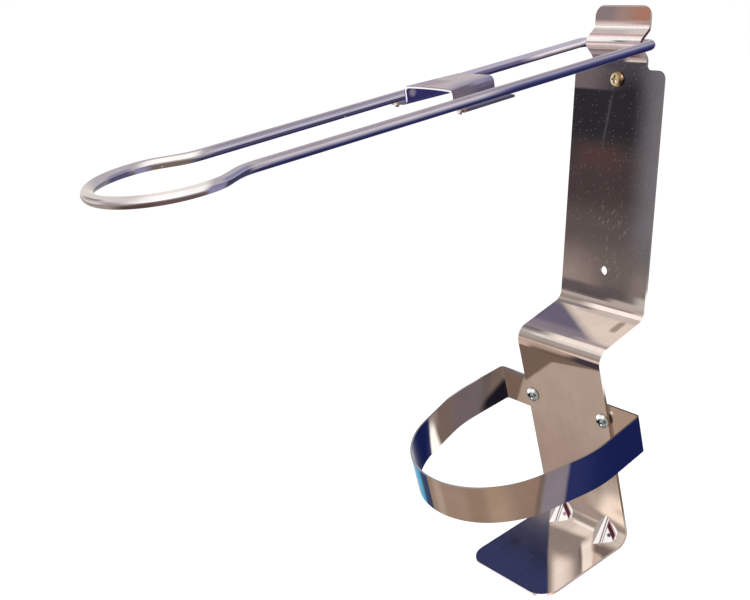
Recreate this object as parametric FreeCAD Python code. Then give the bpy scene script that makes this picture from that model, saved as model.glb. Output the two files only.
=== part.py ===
import FreeCAD, Part
import math
import os

# Wall bracket for a pump bottle, worked by a long wire elbow lever.
# A bent stainless strip hangs on the wall. A strap ring screwed to its lower panel holds
# the bottle, which stands on the foot, and a closed wire lever turns in a groove pressed
# across the strip's neck. A sheet saddle welded under the wires presses the pump down.
#
# Millimetres. +X is to the right seen from the room, +Y goes into the wall, +Z is up.
# The origin is on the wall plane, on the axis of the upper wall screw.

# Bracket strip
STRIP_WIDTH = 60.0
STRIP_THICKNESS = 1.5
BEND_RADIUS = 6.5
WALL_HOLE_RADIUS = 2.5
WALL_HOLE_SPACING = 103.0
SCREW_TO_STEP = 124.0
SCREW_TO_SHOULDER = 5.6
SCREW_TO_TOP = 37.7
SHOULDER_CORNER_RADIUS = 4.5
STEP_REACH = 34.4
STEP_DROP = 14.9
PANEL_DROP = 114.0
PANEL_RETURN = 36.1
FOOT_LENGTH = 66.5
FOOT_SLOPE_DEG = 13.5
FOOT_CORNER_RADIUS = 11.0

# Neck, hanging tab and the groove that holds the lever's crossbar
NECK_WIDTH = 36.5
NECK_ROOT_RADIUS = 2.0
TAB_CORNER_RADIUS = 6.0
GROOVE_HEIGHT = 18.5
GROOVE_HALF_SPAN = 7.6
GROOVE_BEND_RADIUS = 3.0
CROSSBAR_TO_WALL = 3.6

# Darts pressed into the foot's bend
DART_OFFSET = 17.0
DART_HALF_WIDTH = 8.0
DART_ON_PANEL = 12.5
DART_ON_FOOT = 13.5
DART_OVERRUN = 1.8

# Bottle ring
RING_STRIP_WIDTH = 21.0
RING_STRIP_THICKNESS = 1.0
RING_DROP = 30.2
RING_FOLD_HALF_WIDTH = 51.5
RING_SIDE_HALF_WIDTH = 54.0
RING_SIDE_REACH = 34.0
RING_FRONT_HALF_WIDTH = 36.0
RING_REACH = 97.6
RING_SIDE_RADIUS = 60.0
RING_FOLD_RADIUS = 1.5
RING_TAIL_LENGTH = 36.0

# Ring screws, M4
RING_SCREW_OFFSET = 26.0
SCREW_RADIUS = 2.0
SCREW_HOLE_CLEARANCE = 0.15
SCREW_LENGTH = 8.0
SCREW_HEAD_RADIUS = 4.0
SCREW_HEAD_HEIGHT = 2.6
SCREW_HEAD_EDGE = 1.1
RECESS_WIDTH = 1.0
RECESS_LENGTH = 4.4
RECESS_DEPTH = 1.5
THREAD_CLEARANCE = 0.05
WASHER_RADIUS = 4.5
WASHER_THICKNESS = 0.8
NUT_ACROSS_FLATS = 7.0
NUT_HEIGHT = 3.2
NUT_CHAMFER_DEG = 30.0
POINT_CHAMFER = 0.5

# Wall screw
WALL_SCREW_RADIUS = 2.0
WALL_SCREW_NECK_RADIUS = 2.2
WALL_SCREW_LENGTH = 32.0
WALL_SCREW_TIP = 5.0
WALL_SCREW_HEAD_RADIUS = 3.8
WALL_SCREW_HEAD_HEIGHT = 2.8
WALL_SCREW_HEAD_EDGE = 1.3

# Lever wire
WIRE_RADIUS = 2.5
CROSSBAR_CLEARANCE = 0.06
ARM_REAR_HALF_SPACING = 23.8
ARM_FRONT_HALF_SPACING = 22.0
ARM_BEND_RADIUS = 4.3
LEVER_SLOPE_DEG = 11.8
JOGGLE_START = 243.0
JOGGLE_LENGTH = 15.0
JOGGLE_RADIUS = 20.0
LOOP_HALF_WIDTH = 31.2
LOOP_LENGTH = 38.5

# Saddle under the wires, and its weld beads
SADDLE_THICKNESS = 1.2
SADDLE_REAR = 100.0
SADDLE_FRONT = 131.2
SADDLE_HOLLOW_RADIUS = 100.0
SADDLE_FRONT_HALF_WIDTH = 17.6
SADDLE_REAR_HALF_WIDTH = 13.2
SADDLE_RISE = 5.6
SADDLE_LIP_HALF_WIDTH = 26.0
SADDLE_BEND_RADIUS = 1.6
WELD_RADIUS = 1.7

# Derived places
GROOVE_INNER_RADIUS = WIRE_RADIUS + CROSSBAR_CLEARANCE
PANEL_ANGLE = math.atan2(PANEL_RETURN, PANEL_DROP)
FOOT_ANGLE = math.radians(FOOT_SLOPE_DEG)
FRONT_FACE_Y = -STRIP_THICKNESS
STEP_TOP = (FRONT_FACE_Y, -SCREW_TO_STEP)
STEP_EDGE = (STEP_TOP[0] - STEP_REACH, STEP_TOP[1] - STEP_DROP)
HEEL = (STEP_EDGE[0] + PANEL_RETURN, STEP_EDGE[1] - PANEL_DROP)
FOOT_RUN = FOOT_LENGTH * math.cos(FOOT_ANGLE)
FOOT_FALL = FOOT_LENGTH * math.sin(FOOT_ANGLE)
FOOT_FRONT = (HEEL[0] - FOOT_RUN, HEEL[1] - FOOT_FALL)
JOGGLE_END = JOGGLE_START + JOGGLE_LENGTH
LEVER_REACH = JOGGLE_END + LOOP_LENGTH

# How far a cutter reaches past what it cuts
OVERSIZE = 5.0

RIGHT = FreeCAD.Vector(1, 0, 0)
OUT = FreeCAD.Vector(0, -1, 0)
UP = FreeCAD.Vector(0, 0, 1)
PANEL_DOWN = FreeCAD.Vector(0, math.sin(PANEL_ANGLE), -math.cos(PANEL_ANGLE))
PANEL_OUT = FreeCAD.Vector(0, -math.cos(PANEL_ANGLE), -math.sin(PANEL_ANGLE))
FOOT_FORWARD = FreeCAD.Vector(0, -math.cos(FOOT_ANGLE), -math.sin(FOOT_ANGLE))
FOOT_DOWN = FreeCAD.Vector(0, math.sin(FOOT_ANGLE), -math.cos(FOOT_ANGLE))
HEEL_OUT = (PANEL_DOWN - FOOT_FORWARD).normalize()


def line_through(first, second, shift):
    """Point and direction of the line first-second, moved shift to its left."""
    run = (second[0] - first[0], second[1] - first[1])
    size = math.hypot(run[0], run[1])
    way = (run[0] / size, run[1] / size)
    return (first[0] - way[1] * shift, first[1] + way[0] * shift), way


def crossing(line_a, line_b):
    """Point where two lines given as point and direction meet."""
    (ax, ay), (ux, uy) = line_a
    (bx, by), (vx, vy) = line_b
    turn = ux * vy - uy * vx
    along = ((bx - ax) * vy - (by - ay) * vx) / turn
    return (ax + ux * along, ay + uy * along)


def beside(path, shift):
    """The path's corners moved shift to its left, with its ends moved square to it."""
    lines = [line_through(path[i], path[i + 1], shift) for i in range(len(path) - 1)]
    corners = [crossing(lines[i], lines[i + 1]) for i in range(len(lines) - 1)]
    last_point, last_way = lines[-1]
    run = math.dist(path[-2], path[-1])
    end = (last_point[0] + last_way[0] * run, last_point[1] + last_way[1] * run)
    return [lines[0][0]] + corners + [end]


def turn_side(path, i):
    """+1 where the path turns left at corner i, -1 where it turns right."""
    _, before = line_through(path[i - 1], path[i], 0)
    _, after = line_through(path[i], path[i + 1], 0)
    return 1 if before[0] * after[1] - before[1] * after[0] > 0 else -1


def rounded_edges(corners, radii):
    """Straight and arc edges along 3D corners; radii has one value per inner corner, 0 if sharp."""
    edges = []
    start = corners[0]
    for i, radius in enumerate(radii, start=1):
        back = (corners[i - 1] - corners[i]).normalize()
        ahead = (corners[i + 1] - corners[i]).normalize()
        half = back.getAngle(ahead) / 2
        tangent = radius / math.tan(half)
        middle = (back + ahead).normalize()
        arc_start = corners[i] + back * tangent
        arc_end = corners[i] + ahead * tangent
        arc_middle = corners[i] + middle * (radius / math.sin(half) - radius)
        if start.distanceToPoint(arc_start) > 1e-6:
            edges.append(Part.LineSegment(start, arc_start).toShape())
        if radius > 0:
            edges.append(Part.Arc(arc_start, arc_middle, arc_end).toShape())
        start = arc_end
    if start.distanceToPoint(corners[-1]) > 1e-6:
        edges.append(Part.LineSegment(start, corners[-1]).toShape())
    return edges


def strip_section(path, radii, thickness, place):
    """Face of a bent strip: path is its left face, radii are its bends' inner radii."""
    far = beside(path, -thickness)
    near_radii = []
    far_radii = []
    for i, radius in enumerate(radii, start=1):
        left = turn_side(path, i) > 0
        near_radii.append(radius if left else radius + thickness)
        far_radii.append(radius + thickness if left else radius)
    near_corners = [place(p) for p in path]
    far_corners = [place(p) for p in far]
    edges = rounded_edges(near_corners, near_radii)
    edges.append(Part.LineSegment(near_corners[-1], far_corners[-1]).toShape())
    edges += rounded_edges(far_corners, far_radii)
    edges.append(Part.LineSegment(far_corners[0], near_corners[0]).toShape())
    return Part.Face(Part.Wire(Part.__sortEdges__(edges)))


def tangent_way(point, centre, radius, side):
    """Direction from point that touches the circle on the given side (+1 left, -1 right)."""
    away = (centre[0] - point[0], centre[1] - point[1])
    reach = math.hypot(away[0], away[1])
    angle = math.atan2(away[1], away[0]) + side * math.asin(radius / reach)
    return (math.cos(angle), math.sin(angle))


def in_profile(point):
    """Place of a (y, z) point of the bracket's profile on its left edge."""
    return FreeCAD.Vector(-STRIP_WIDTH / 2, point[0], point[1])


def bracket_path():
    """Front face of the bracket from the tab's top to the foot's front edge, and its bends."""
    centre = (-CROSSBAR_TO_WALL, GROOVE_HEIGHT)
    nose_radius = GROOVE_INNER_RADIUS + STRIP_THICKNESS
    above = (FRONT_FACE_Y, GROOVE_HEIGHT + GROOVE_HALF_SPAN)
    below = (FRONT_FACE_Y, GROOVE_HEIGHT - GROOVE_HALF_SPAN)
    from_above = (above, tangent_way(above, centre, nose_radius, -1))
    from_below = (below, tangent_way(below, centre, nose_radius, 1))
    nose = crossing(from_above, from_below)
    path = [(FRONT_FACE_Y, SCREW_TO_TOP), above, nose, below, STEP_TOP, STEP_EDGE, HEEL, FOOT_FRONT]
    radii = [GROOVE_BEND_RADIUS, GROOVE_INNER_RADIUS, GROOVE_BEND_RADIUS]
    return path, radii + [BEND_RADIUS, BEND_RADIUS, BEND_RADIUS]


def corner_trim(corner, outward, upward, radius, depth):
    """Cutter that rounds one outer corner of a sheet; depth goes through the sheet."""
    centre = corner - outward * radius - upward * radius
    wide = outward * (radius + OVERSIZE)
    high = upward * (radius + OVERSIZE)
    square = Part.makePolygon([centre, centre + wide, centre + wide + high, centre + high, centre])
    round_bar = Part.makeCylinder(radius, depth.Length, centre, depth)
    return Part.Face(square).extrude(depth).cut(round_bar)


def neck_trims():
    """Cutters that narrow the strip to the neck and round its shoulders and the tab."""
    inner = NECK_WIDTH / 2
    outer = STRIP_WIDTH / 2 + OVERSIZE
    low = SCREW_TO_SHOULDER
    high = SCREW_TO_TOP + OVERSIZE
    depth = OUT * (2 * OVERSIZE + CROSSBAR_TO_WALL + GROOVE_INNER_RADIUS + STRIP_THICKNESS)
    cutters = []
    for side in (-1, 1):
        outline = [(inner, high), (inner, low), (outer, low), (outer, high), (inner, high)]
        corners = [FreeCAD.Vector(side * x, OVERSIZE, z) for x, z in outline]
        edges = rounded_edges(corners, [NECK_ROOT_RADIUS, 0, 0])
        cutters.append(Part.Face(Part.Wire(edges)).extrude(depth))
        shoulder = FreeCAD.Vector(side * STRIP_WIDTH / 2, OVERSIZE, low)
        cutters.append(corner_trim(shoulder, RIGHT * side, UP, SHOULDER_CORNER_RADIUS, depth))
        tab_corner = FreeCAD.Vector(side * inner, OVERSIZE, SCREW_TO_TOP)
        cutters.append(corner_trim(tab_corner, RIGHT * side, UP, TAB_CORNER_RADIUS, depth))
    return cutters


def foot_trims():
    """Cutters that round the foot's two front corners."""
    depth = FOOT_DOWN * (2 * OVERSIZE + STRIP_THICKNESS)
    cutters = []
    for side in (-1, 1):
        corner = FreeCAD.Vector(side * STRIP_WIDTH / 2, FOOT_FRONT[0], FOOT_FRONT[1])
        start = corner - FOOT_DOWN * OVERSIZE
        cutters.append(corner_trim(start, RIGHT * side, FOOT_FORWARD, FOOT_CORNER_RADIUS, depth))
    return cutters


def ring_screw_seat(side):
    """Point on the panel's front face on the axis of one ring screw."""
    seat = FreeCAD.Vector(side * RING_SCREW_OFFSET, STEP_EDGE[0], STEP_EDGE[1])
    return seat + PANEL_DOWN * (RING_DROP + RING_STRIP_WIDTH / 2)


def ring_screw_hole(side):
    """Cutter for a ring screw's hole through the panel and the ring's tail."""
    start = ring_screw_seat(side) + PANEL_OUT * OVERSIZE
    depth = 2 * OVERSIZE + STRIP_THICKNESS + RING_STRIP_THICKNESS
    return Part.makeCylinder(SCREW_RADIUS + SCREW_HOLE_CLEARANCE, depth, start, PANEL_OUT * -1)


def dart_wedge(side, shift):
    """Wedge over the heel's bend under one dart's two facets, moved shift out of the bend."""
    heel = FreeCAD.Vector(side * DART_OFFSET, HEEL[0], HEEL[1]) + HEEL_OUT * shift
    on_panel = heel - PANEL_DOWN * DART_ON_PANEL
    on_foot = heel + FOOT_FORWARD * DART_ON_FOOT
    crest = (on_panel + on_foot) / 2
    bend_half = (PANEL_DOWN * -1).getAngle(FOOT_FORWARD) / 2
    valley = heel - HEEL_OUT * (BEND_RADIUS / math.sin(bend_half) - BEND_RADIUS)
    left = crest + (valley - RIGHT * DART_HALF_WIDTH - crest) * DART_OVERRUN
    right = crest + (valley + RIGHT * DART_HALF_WIDTH - crest) * DART_OVERRUN
    sides = [(on_panel, on_foot, left), (on_panel, right, on_foot)]
    sides += [(on_panel, left, right), (on_foot, right, left)]
    faces = [Part.Face(Part.makePolygon([a, b, c, a])) for a, b, c in sides]
    return Part.makeSolid(Part.makeShell(faces))


def heel_room():
    """Space above the foot and in front of the lower panel, from the middle of the sheet."""
    middle = beside([STEP_EDGE, HEEL, FOOT_FRONT], STRIP_THICKNESS / 2)
    corners = [in_profile(p) for p in middle]
    edges = rounded_edges(corners, [BEND_RADIUS + STRIP_THICKNESS / 2])
    edges.append(Part.LineSegment(corners[-1], corners[0]).toShape())
    return Part.Face(Part.Wire(Part.__sortEdges__(edges))).extrude(RIGHT * STRIP_WIDTH)


def make_bracket():
    """Bent stainless strip: tab, groove, wall plate, step, lower panel and foot."""
    path, radii = bracket_path()
    section = strip_section(path[::-1], radii[::-1], STRIP_THICKNESS, in_profile)
    strip = section.extrude(RIGHT * STRIP_WIDTH)
    for cutter in neck_trims() + foot_trims():
        strip = strip.cut(cutter)
    for z in (0, -WALL_HOLE_SPACING):
        start = FreeCAD.Vector(0, OVERSIZE, z)
        depth = 2 * OVERSIZE + STRIP_THICKNESS
        strip = strip.cut(Part.makeCylinder(WALL_HOLE_RADIUS, depth, start, OUT))
    for side in (-1, 1):
        strip = strip.cut(ring_screw_hole(side))
        dart = dart_wedge(side, 0).common(heel_room())
        strip = strip.fuse(dart).cut(dart_wedge(side, STRIP_THICKNESS))
    return strip.removeSplitter()


def in_ring(point):
    """Place of a (half width, reach) point of the ring, reach taken from the panel's front."""
    origin = FreeCAD.Vector(point[0], STEP_EDGE[0], STEP_EDGE[1])
    return origin + PANEL_DOWN * RING_DROP + PANEL_OUT * point[1]


def make_ring():
    """Strap ring with its two tails folded in behind the lower panel."""
    tail_reach = -STRIP_THICKNESS - RING_STRIP_THICKNESS
    tail_end = RING_FOLD_HALF_WIDTH - RING_TAIL_LENGTH
    half = [
        (tail_end, tail_reach),
        (RING_FOLD_HALF_WIDTH, tail_reach),
        (RING_SIDE_HALF_WIDTH, RING_SIDE_REACH),
        (RING_FRONT_HALF_WIDTH, RING_REACH),
    ]
    path = half + [(-x, reach) for x, reach in reversed(half)]
    side_way = (RING_FRONT_HALF_WIDTH - RING_SIDE_HALF_WIDTH, RING_REACH - RING_SIDE_REACH)
    front_turn = math.pi / 2 - math.atan2(-side_way[0], side_way[1])
    front_radius = RING_FRONT_HALF_WIDTH / math.tan(front_turn / 2)
    bends = [RING_FOLD_RADIUS, RING_SIDE_RADIUS, front_radius - RING_STRIP_THICKNESS]
    radii = bends + bends[::-1]
    section = strip_section(path[::-1], radii, RING_STRIP_THICKNESS, in_ring)
    ring = section.extrude(PANEL_DOWN * RING_STRIP_WIDTH)
    for side in (-1, 1):
        ring = ring.cut(ring_screw_hole(side))
    return ring.removeSplitter()


def screw_blank(shank, head, seat, way):
    """Turned screw without its recess, head on seat and pointing along way.

    shank is a list of (radius, height) points from its end up to the head, and head is
    (radius, height, edge height) of a domed pan head.
    """
    radius, height, edge = head
    rise = height - edge
    ball = (radius * radius + rise * rise) / (2 * rise)
    half_dome = math.asin(radius / ball) / 2
    dome = (ball * math.sin(half_dome), height - ball + ball * math.cos(half_dome))

    def place(point):
        return seat + RIGHT * point[0] + way * point[1]

    outline = [place(p) for p in shank + [(radius, 0), (radius, edge)]]
    edges = [Part.LineSegment(a, b).toShape() for a, b in zip(outline, outline[1:])]
    top = place((0, height))
    edges.append(Part.Arc(outline[-1], place(dome), top).toShape())
    edges.append(Part.LineSegment(top, outline[0]).toShape())
    return Part.Face(Part.Wire(edges)).revolve(seat, way, 360)


def cross_recess(seat, way, across):
    """Cross-shaped driver recess cut down from seat against way."""
    up = way.cross(across)
    blades = []
    for long_way, short_way in ((across, up), (up, across)):
        long_side = long_way * RECESS_LENGTH
        short_side = short_way * RECESS_WIDTH
        corner = seat - long_side / 2 - short_side / 2 - way * RECESS_DEPTH
        far = corner + long_side + short_side
        outline = Part.makePolygon([corner, corner + long_side, far, corner + short_side, corner])
        blades.append(Part.Face(outline).extrude(way * (RECESS_DEPTH + OVERSIZE)))
    return blades[0].fuse(blades[1])


def make_ring_screw(side):
    """M4 pan head screw through the panel and the ring's tail."""
    seat = ring_screw_seat(side)
    shank = [(0, -SCREW_LENGTH), (SCREW_RADIUS - POINT_CHAMFER, -SCREW_LENGTH)]
    shank += [(SCREW_RADIUS, -SCREW_LENGTH + POINT_CHAMFER), (SCREW_RADIUS, 0)]
    head = (SCREW_HEAD_RADIUS, SCREW_HEAD_HEIGHT, SCREW_HEAD_EDGE)
    blank = screw_blank(shank, head, seat, PANEL_OUT)
    return blank.cut(cross_recess(seat + PANEL_OUT * SCREW_HEAD_HEIGHT, PANEL_OUT, RIGHT))


def behind_tail(side, depth):
    """Point on a ring screw's axis, depth behind the ring tail's back."""
    return ring_screw_seat(side) - PANEL_OUT * (STRIP_THICKNESS + RING_STRIP_THICKNESS + depth)


def make_ring_washer(side):
    """Plain washer against the ring's tail."""
    seat = behind_tail(side, 0)
    disc = Part.makeCylinder(WASHER_RADIUS, WASHER_THICKNESS, seat, PANEL_OUT * -1)
    bore = Part.makeCylinder(SCREW_RADIUS + SCREW_HOLE_CLEARANCE, WASHER_THICKNESS, seat, PANEL_OUT * -1)
    return disc.cut(bore)


def make_ring_nut(side):
    """Hexagon nut with chamfered corners on the washer."""
    seat = behind_tail(side, WASHER_THICKNESS)
    back = PANEL_OUT * -1
    across = back.cross(RIGHT)
    half_flats = NUT_ACROSS_FLATS / 2
    corner_radius = half_flats / math.cos(math.pi / 6)
    corners = []
    for i in range(7):
        angle = i * math.pi / 3
        way = RIGHT * math.cos(angle) + across * math.sin(angle)
        corners.append(seat + way * corner_radius)
    hexagon = Part.Face(Part.makePolygon(corners)).extrude(back * NUT_HEIGHT)
    cone_base = half_flats + NUT_HEIGHT / math.tan(math.radians(NUT_CHAMFER_DEG))
    cone = Part.makeCone(cone_base, half_flats, NUT_HEIGHT, seat, back)
    bore = Part.makeCylinder(SCREW_RADIUS + THREAD_CLEARANCE, NUT_HEIGHT, seat, back)
    return hexagon.common(cone).cut(bore)


def make_wall_screw():
    """Cross recess screw in the upper wall hole, its head on the plate's front face."""
    seat = FreeCAD.Vector(0, FRONT_FACE_Y, 0)
    shank = [(0, -WALL_SCREW_LENGTH), (WALL_SCREW_RADIUS, WALL_SCREW_TIP - WALL_SCREW_LENGTH)]
    shank += [(WALL_SCREW_RADIUS, -STRIP_THICKNESS), (WALL_SCREW_NECK_RADIUS, -STRIP_THICKNESS)]
    shank += [(WALL_SCREW_NECK_RADIUS, 0)]
    head = (WALL_SCREW_HEAD_RADIUS, WALL_SCREW_HEAD_HEIGHT, WALL_SCREW_HEAD_EDGE)
    blank = screw_blank(shank, head, seat, OUT)
    return blank.cut(cross_recess(seat + OUT * WALL_SCREW_HEAD_HEIGHT, OUT, RIGHT))


def lever_place():
    """Placement from the lever's own frame, level with its crossbar at the origin."""
    pivot = FreeCAD.Vector(0, -CROSSBAR_TO_WALL, GROOVE_HEIGHT)
    return FreeCAD.Placement(pivot, FreeCAD.Rotation(RIGHT, LEVER_SLOPE_DEG))


def set_in_place(shape):
    """The shape turned and moved from the lever's own frame to its rest pose."""
    return shape.transformed(lever_place().toMatrix(), True)


def along_lever(x, reach, rise=0.0):
    """Point in the lever's own frame: reach is forward from the crossbar."""
    return FreeCAD.Vector(x, -reach, rise)


def half_lever(side):
    """One half of the closed wire, from the crossbar's middle to the loop's front."""
    corners = [
        along_lever(0, 0),
        along_lever(side * ARM_REAR_HALF_SPACING, 0),
        along_lever(side * ARM_FRONT_HALF_SPACING, JOGGLE_START),
        along_lever(side * LOOP_HALF_WIDTH, JOGGLE_END),
        along_lever(side * LOOP_HALF_WIDTH, LEVER_REACH),
        along_lever(0, LEVER_REACH),
    ]
    radii = [ARM_BEND_RADIUS, JOGGLE_RADIUS, JOGGLE_RADIUS, LOOP_HALF_WIDTH]
    route = Part.Wire(rounded_edges(corners, radii))
    circle = Part.Wire(Part.makeCircle(WIRE_RADIUS, corners[0], RIGHT * side))
    return route.makePipeShell([circle], True, True)


def level_lever_wire():
    """The closed wire in the lever's own frame."""
    return half_lever(1).fuse(half_lever(-1)).removeSplitter()


def saddle_section(half_width, reach):
    """Hat-shaped wire of the saddle across the lever at one reach."""
    lip_top = -WIRE_RADIUS
    half = [
        (SADDLE_LIP_HALF_WIDTH, lip_top),
        (half_width, lip_top),
        (half_width, SADDLE_RISE),
    ]
    path = half + [(-x, rise) for x, rise in reversed(half)]
    radii = [SADDLE_BEND_RADIUS] * (len(path) - 2)

    def place(point):
        return along_lever(point[0], reach, point[1])

    return strip_section(path[::-1], radii, SADDLE_THICKNESS, place).OuterWire


def front_hollow():
    """Space in front of the saddle's hollow front edge, in the lever's own frame."""
    lip_corner = math.sqrt(SADDLE_HOLLOW_RADIUS**2 - SADDLE_LIP_HALF_WIDTH**2)
    start = along_lever(0, SADDLE_FRONT + lip_corner, -SADDLE_RISE - OVERSIZE)
    return Part.makeCylinder(SADDLE_HOLLOW_RADIUS, 2 * (SADDLE_RISE + OVERSIZE), start)


def level_saddle():
    """Saddle in the lever's own frame, narrower at its rear and hollow along its front."""
    rear = saddle_section(SADDLE_REAR_HALF_WIDTH, SADDLE_REAR)
    front = saddle_section(SADDLE_FRONT_HALF_WIDTH, SADDLE_FRONT)
    return Part.makeLoft([rear, front], True, True).cut(front_hollow())


def arm_half_spacing(reach):
    """Distance of an arm's centre line from the lever's middle at one reach."""
    share = reach / JOGGLE_START
    return ARM_REAR_HALF_SPACING + (ARM_FRONT_HALF_SPACING - ARM_REAR_HALF_SPACING) * share


def level_weld(side, wire):
    """Weld bead between a lip's front end and the wire above it."""
    reach = SADDLE_FRONT - WELD_RADIUS / 2
    centre = along_lever(side * arm_half_spacing(reach), reach, -WIRE_RADIUS - SADDLE_THICKNESS / 2)
    return Part.makeSphere(WELD_RADIUS, centre).common(front_hollow()).cut(wire)


def save(name, shape):
    """Writes one piece and prints what it measures."""
    shape.exportStep("parts/" + name + ".step")
    solids = shape.Solids
    print(name, "solids", len(solids), "valid", shape.isValid(), "volume", round(shape.Volume, 2))


def main():
    """Builds every piece and writes one file for each."""
    os.makedirs("parts", exist_ok=True)
    save("bracket", make_bracket())
    save("bottle_ring", make_ring())
    for side, name in ((-1, "left"), (1, "right")):
        save("ring_screw_" + name, make_ring_screw(side))
        save("ring_washer_" + name, make_ring_washer(side))
        save("ring_nut_" + name, make_ring_nut(side))
    save("wall_screw", make_wall_screw())
    wire = level_lever_wire()
    saddle = level_saddle()
    save("lever_wire", set_in_place(wire))
    save("pump_saddle", set_in_place(saddle))
    for side, name in ((-1, "left"), (1, "right")):
        save("saddle_weld_" + name, set_in_place(level_weld(side, wire)))


main()
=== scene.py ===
"""Looks of a wall-mounted bottle bracket with a long wire elbow lever.

Every piece keeps the frame's sizes. The finishes are mirror polished stainless steel and
zinc plating, whose colours hold painted reflections, highlights and shade: the soft tones
that such metal picks up from a furnished room.
"""

import logging
import math
from dataclasses import dataclass
from enum import Enum

import bpy
from mathutils import Matrix, Vector

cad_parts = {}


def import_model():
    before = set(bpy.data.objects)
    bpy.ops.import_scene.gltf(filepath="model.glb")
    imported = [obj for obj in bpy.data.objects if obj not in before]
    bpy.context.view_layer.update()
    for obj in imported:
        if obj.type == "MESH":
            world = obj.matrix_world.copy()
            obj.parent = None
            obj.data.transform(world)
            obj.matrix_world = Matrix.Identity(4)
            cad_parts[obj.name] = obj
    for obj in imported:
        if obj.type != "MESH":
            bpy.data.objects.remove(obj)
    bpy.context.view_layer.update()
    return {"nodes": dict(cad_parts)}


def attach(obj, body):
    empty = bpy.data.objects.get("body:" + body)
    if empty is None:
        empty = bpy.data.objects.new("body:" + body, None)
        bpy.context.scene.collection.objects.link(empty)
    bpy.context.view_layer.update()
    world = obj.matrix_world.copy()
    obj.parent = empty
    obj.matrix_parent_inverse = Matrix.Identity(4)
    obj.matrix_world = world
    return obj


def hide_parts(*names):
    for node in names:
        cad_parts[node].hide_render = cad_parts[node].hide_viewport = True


Triple = tuple[float, float, float]
Socket = bpy.types.NodeSocket
Tree = bpy.types.NodeTree
Object = bpy.types.Object

LOG = logging.getLogger("bottle_bracket")
MM = 0.001
MERGE_GAP = 0.001 * MM
SMOOTH_ANGLE = math.radians(30.0)
NEAR_CLIP = 0.01

# Slopes and corners of the object, as in the frame, in millimetres
PANEL_SLOPE = math.radians(17.57)
FOOT_SLOPE = math.radians(13.5)
LEVER_SLOPE = math.radians(11.8)
STEP_EDGE = (0.0, -35.9, -138.9)
HEEL = (0.0, 0.2, -252.9)
PIVOT = (0.0, -3.6, 18.5)


class Reading(Enum):
    """What a ruler measures on a surface."""

    PLACE = "distance along a line, in millimetres"
    AWAY = "distance from a point, in millimetres"
    FACING = "how far the surface faces a direction, from -1 to 1"


@dataclass(frozen=True)
class Edge:
    """One soft edge of a patch, which fades in from start to end along a ruler."""

    ruler: "Ruler"
    start: float
    end: float


@dataclass(frozen=True)
class Ruler:
    """A line, a point or a direction that the edges of patches are measured by."""

    way: Triple = (0.0, 0.0, 0.0)
    origin: Triple = (0.0, 0.0, 0.0)
    reading: Reading = Reading.PLACE

    def to(self, start: float, end: float) -> Edge:
        """Edge of a patch that starts to show at start and is full at end."""
        return Edge(self, start, end)

    def band(self, low: float, high: float, soft: float) -> tuple[Edge, Edge]:
        """Two edges that keep a patch from low to high, each of them soft wide."""
        half = soft / 2
        return Edge(self, low - half, low + half), Edge(self, high + half, high - half)


@dataclass(frozen=True)
class Tint:
    """A patch of colour within its edges."""

    colour: str
    edges: tuple[Edge, ...]
    strength: float = 1.0


Tints = tuple[Tint, ...]


@dataclass(frozen=True)
class Marks:
    """Small scattered marks, such as dust, nicks and hairline scratches."""

    colour: str
    cell: Triple
    radius: float
    share: float
    strength: float
    turn: float = 0.0
    edges: tuple[Edge, ...] = ()


def tint(colour: str, *edges: Edge, strength: float = 1.0) -> Tint:
    """Patch of an sRGB hex colour within soft edges; strength is the share of it that shows."""
    return Tint(colour, edges, strength)


def leaning(
    first: Triple, second: Triple, share: float, origin: Triple = (0.0, 0.0, 0.0)
) -> Ruler:
    """Ruler along first, leaning by a share of second."""
    return Ruler(tuple(a + share * b for a, b in zip(first, second)), origin)


def away_from(*point: float) -> Ruler:
    """Ruler of the distance from a point."""
    return Ruler(origin=point, reading=Reading.AWAY)


def tints_in(zone: tuple[Edge, ...], *patches: tuple) -> Tints:
    """Patches that share a zone's edges: each is a colour and its own further edges."""
    return tuple(tint(colour, *zone, *edges) for colour, *edges in patches)


X_WAY = (1.0, 0.0, 0.0)
Y_WAY = (0.0, 1.0, 0.0)
Z_WAY = (0.0, 0.0, 1.0)
PANEL_WAY = (0.0, math.sin(PANEL_SLOPE), -math.cos(PANEL_SLOPE))
FOOT_WAY = (0.0, -math.cos(FOOT_SLOPE), -math.sin(FOOT_SLOPE))
LEVER_WAY = (0.0, -math.cos(LEVER_SLOPE), -math.sin(LEVER_SLOPE))
LEVER_UP_WAY = (0.0, -math.sin(LEVER_SLOPE), math.cos(LEVER_SLOPE))

ACROSS = Ruler(X_WAY)
DEPTH = Ruler(Y_WAY)
HEIGHT = Ruler(Z_WAY)
PANEL = Ruler(PANEL_WAY, STEP_EDGE)
FOOT = Ruler(FOOT_WAY, HEEL)
LEVER = Ruler(LEVER_WAY, PIVOT)
ABOVE_LEVER = Ruler(LEVER_UP_WAY, PIVOT)
FACES_UP = Ruler(Z_WAY, reading=Reading.FACING)
FACES_ROOM = Ruler((0.0, -1.0, 0.0), reading=Reading.FACING)
FACES_RIGHT = Ruler(X_WAY, reading=Reading.FACING)
FACES_RIM = Ruler(tuple(-a for a in PANEL_WAY), reading=Reading.FACING)


def linear(colour: str) -> tuple[float, float, float, float]:
    """Linear RGBA of an sRGB hex colour such as "#8f8077".

    Args:
        colour: the hex value.

    Returns:
        Red, green, blue and alpha.
    """
    parts = [int(colour[i : i + 2], 16) / 255 for i in (1, 3, 5)]
    light = [c / 12.92 if c <= 0.04045 else ((c + 0.055) / 1.055) ** 2.4 for c in parts]
    return (light[0], light[1], light[2], 1.0)


WHITE = linear("#ffffff")


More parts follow.
